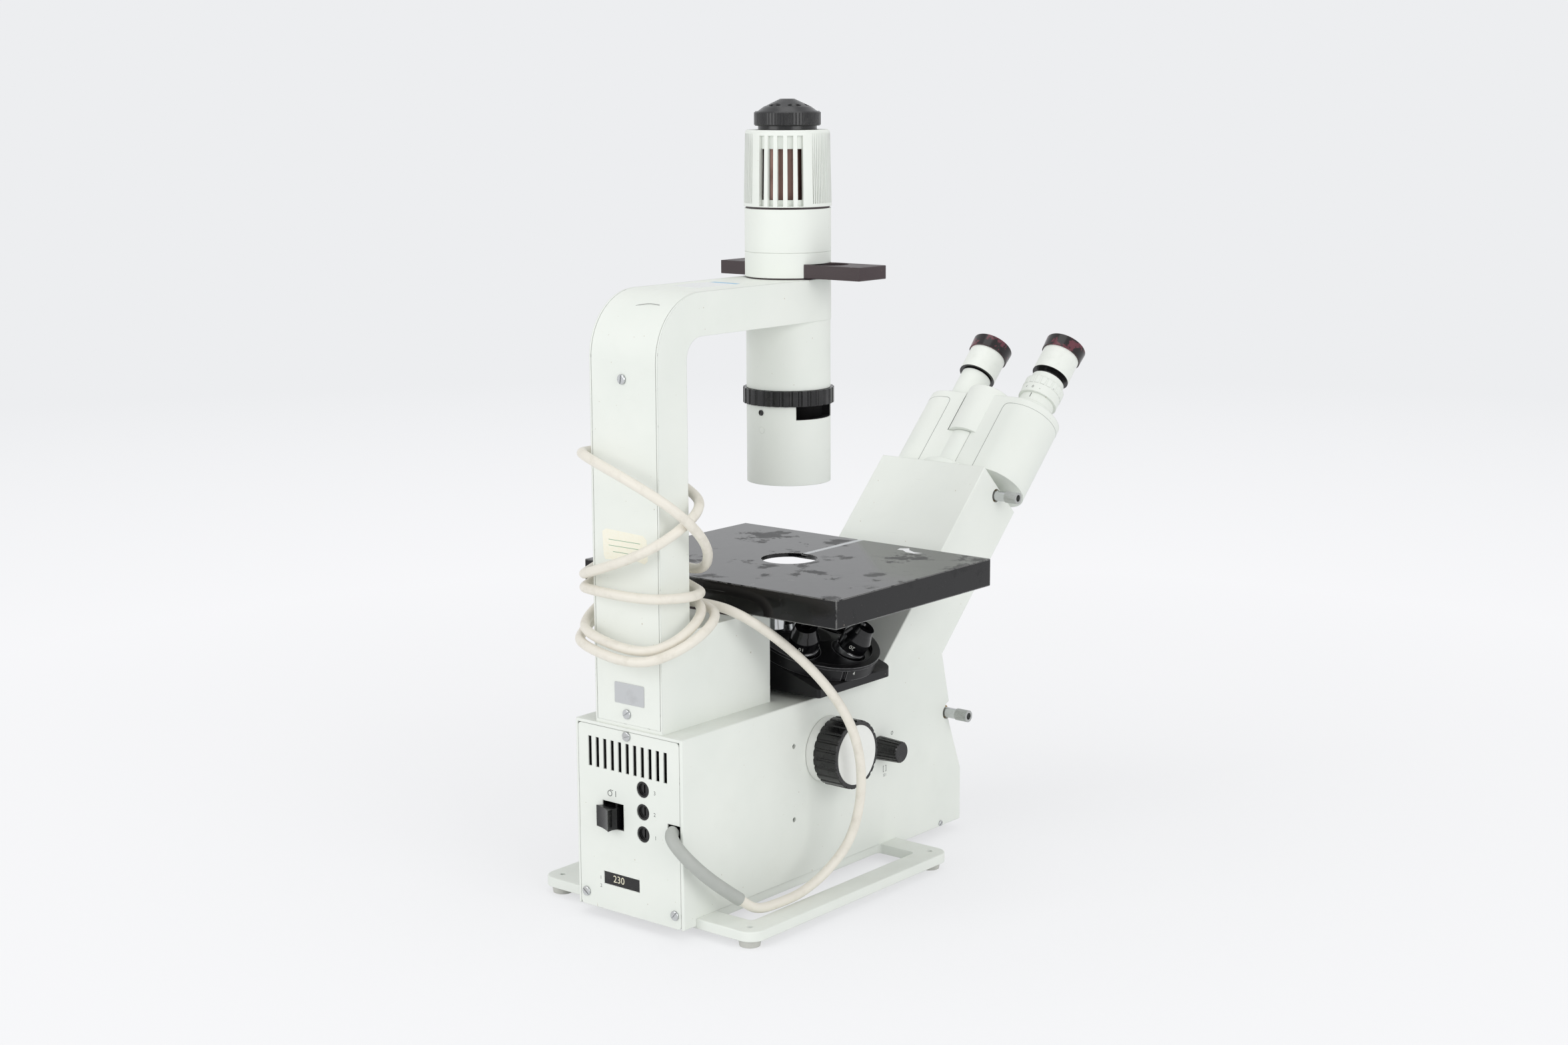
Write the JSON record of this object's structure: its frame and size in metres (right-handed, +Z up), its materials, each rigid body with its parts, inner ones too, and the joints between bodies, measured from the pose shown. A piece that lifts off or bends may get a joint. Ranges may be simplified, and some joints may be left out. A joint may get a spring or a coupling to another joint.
{
  "type": "inverted microscope",
  "caption": "Inverted laboratory microscope: hollow sloping base with folding binocular head, arm with lamp and condenser above a flat stage, tilted objective turret and rack focus below it.",
  "frame": {"origin": "middle of the footprint's overall box, on the table top", "axes": "+Z up, -Y towards the user and the eyepieces, +X to the user's right"},
  "size_m": [0.2428, 0.5443, 0.5849],
  "materials": {
    "pale_paint": "satin",
    "black_paint": "satin",
    "brown_anodised": "satin",
    "black_plastic": "matte",
    "white_plastic": "gloss",
    "bright_steel": "polished",
    "brushed_metal": "brushed",
    "feet_rubber": "matte",
    "cup_rubber": "matte",
    "optical_glass": "clear",
    "mirror_coat": "polished",
    "copper_shroud": "matte",
    "transformer_iron": "matte",
    "cord_vinyl": "matte",
    "grey_rubber": "matte",
    "black_rubber": "matte",
    "bronze": "satin"
  },
  "bodies": {
    "stand": {"base_housing": "pale_paint", "rear_panel": "pale_paint", "foot_plate": "pale_paint", "rubber_feet": "feet_rubber", "foot_screws": "brushed_metal", "arm_casting": "pale_paint", "column_cover": "pale_paint", "slotted_screws": "brushed_metal", "blank_plate": "brushed_metal", "lamp_lead": "black_rubber", "spacer_rings": "brown_anodised", "filter_holder": "pale_paint", "lamp_collar": "pale_paint", "lamp_house": "pale_paint", "lamp_shroud": "copper_shroud", "lamp_bulb": "optical_glass", "condenser_lower": "pale_paint", "condenser_upper": "pale_paint", "stage_support": "brown_anodised", "stage_clamps": "bright_steel", "stage_plate": "black_paint", "shaft_bushes": "bronze", "transformer": "transformer_iron", "panel_inserts": "black_plastic", "optics_mounts": "black_paint", "main_mirror": "mirror_coat", "fixed_lenses": "optical_glass", "head_flange": "pale_paint", "strain_relief": "grey_rubber", "power_cord": "cord_vinyl", "power_plug": "black_rubber"},
    "filter_tray": {"filter_slider": "brown_anodised", "filter_glasses": "optical_glass"},
    "cap": {"lamp_cap": "black_paint"},
    "iris_ring": {"aperture_ring": "black_plastic"},
    "nosepiece": {"nosepiece_bracket": "black_paint"},
    "revolver": {"turret": "black_paint", "objective_low": "bright_steel", "objective_mid": "bright_steel", "objective_high": "bright_steel"},
    "focus_drive": {"focus_shaft": "brushed_metal", "focus_knob_left": "black_plastic", "focus_knob_right": "black_plastic", "knob_trims": "white_plastic"},
    "selector": {"selector_knob": "black_plastic"},
    "lower_rod": {"lower_pull_rod": "bright_steel"},
    "upper_rod": {"upper_pull_rod": "bright_steel"},
    "rocker": {"switch_rocker": "black_plastic"},
    "left_head": {"prism_housing_left": "pale_paint", "left_tube": "pale_paint"},
    "right_head": {"prism_housing_right": "pale_paint", "right_tube": "pale_paint"},
    "dioptre": {"diopter_ring": "pale_paint"},
    "left_ocular": {"left_eyepiece": "pale_paint", "left_eyecup": "cup_rubber", "left_eye_lens": "optical_glass"},
    "right_ocular": {"right_eyepiece": "pale_paint", "right_eyecup": "cup_rubber", "right_eye_lens": "optical_glass"}
  },
  "joints": [
    {"name": "focus_turn", "type": "hinge", "parent": "stand", "child": "focus_drive", "pos_m": [0, 0.09324, 0.1053], "axis": [1, 0, 0], "range_deg": [-78.8, 57.3]},
    {"name": "nosepiece_slide", "type": "slide", "parent": "stand", "child": "nosepiece", "axis": [0, 0, 1], "range_m": [-0.004, 0.0055]},
    {"name": "turret_turn", "type": "hinge", "parent": "nosepiece", "child": "revolver", "pos_m": [-0.026, 0.07324, 0.18371], "axis": [-0.309, 0, 0.9511], "continuous": true},
    {"name": "selector_turn", "type": "hinge", "parent": "stand", "child": "selector", "pos_m": [-0.0513, 0.02774, 0.0912], "axis": [1, 0, 0], "range_deg": [0, 90]},
    {"name": "lower_rod_pull", "type": "slide", "parent": "stand", "child": "lower_rod", "axis": [-1, 0, 0], "range_m": [0, 0.014]},
    {"name": "upper_rod_pull", "type": "slide", "parent": "stand", "child": "upper_rod", "axis": [-1, 0, 0], "range_m": [0, 0.014]},
    {"name": "filter_slide", "type": "slide", "parent": "stand", "child": "filter_tray", "axis": [1, 0, 0], "range_m": [0, 0.0395]},
    {"name": "aperture_turn", "type": "hinge", "parent": "stand", "child": "iris_ring", "pos_m": [0, 0.07324, 0.367], "axis": [0, 0, 1], "range_deg": [0, 90]},
    {"name": "lamp_cap_turn", "type": "hinge", "parent": "stand", "child": "cap", "pos_m": [0, 0.07324, 0.565], "axis": [0, 0, 1], "range_deg": [0, 60]},
    {"name": "rocker_tip", "type": "hinge", "parent": "stand", "child": "rocker", "pos_m": [0.0155, 0.25114, 0.078], "axis": [0, 0, 1], "range_deg": [0, 40]},
    {"name": "head_fold_left", "type": "hinge", "parent": "stand", "child": "left_head", "pos_m": [0, -0.13415, 0.27104], "axis": [0, -0.7071, 0.7071], "range_deg": [-8, 22]},
    {"name": "head_fold_right", "type": "hinge", "parent": "stand", "child": "right_head", "pos_m": [0, -0.13415, 0.27104], "axis": [0, -0.7071, 0.7071], "range_deg": [-22, 8]},
    {"name": "dioptre_turn", "type": "hinge", "parent": "left_head", "child": "dioptre", "pos_m": [-0.0357, -0.21576, 0.33794], "axis": [0, -0.7071, 0.7071], "range_deg": [-114.6, 114.6]},
    {"name": "left_ocular_slide", "type": "slide", "parent": "left_head", "child": "left_ocular", "axis": [0, -0.7071, 0.7071], "range_m": [-0.002, 0.002]},
    {"name": "right_ocular_pull", "type": "slide", "parent": "right_head", "child": "right_ocular", "axis": [0, -0.7071, 0.7071], "range_m": [0, 0.015]}
  ],
  "couplings": [
    {"joint": "focus_turn", "follows": "nosepiece_slide", "rad_per_m": -250},
    {"joint": "head_fold_right", "follows": "head_fold_left", "ratio": -1},
    {"joint": "dioptre_turn", "follows": "left_ocular_slide", "rad_per_m": 1000}
  ]
}
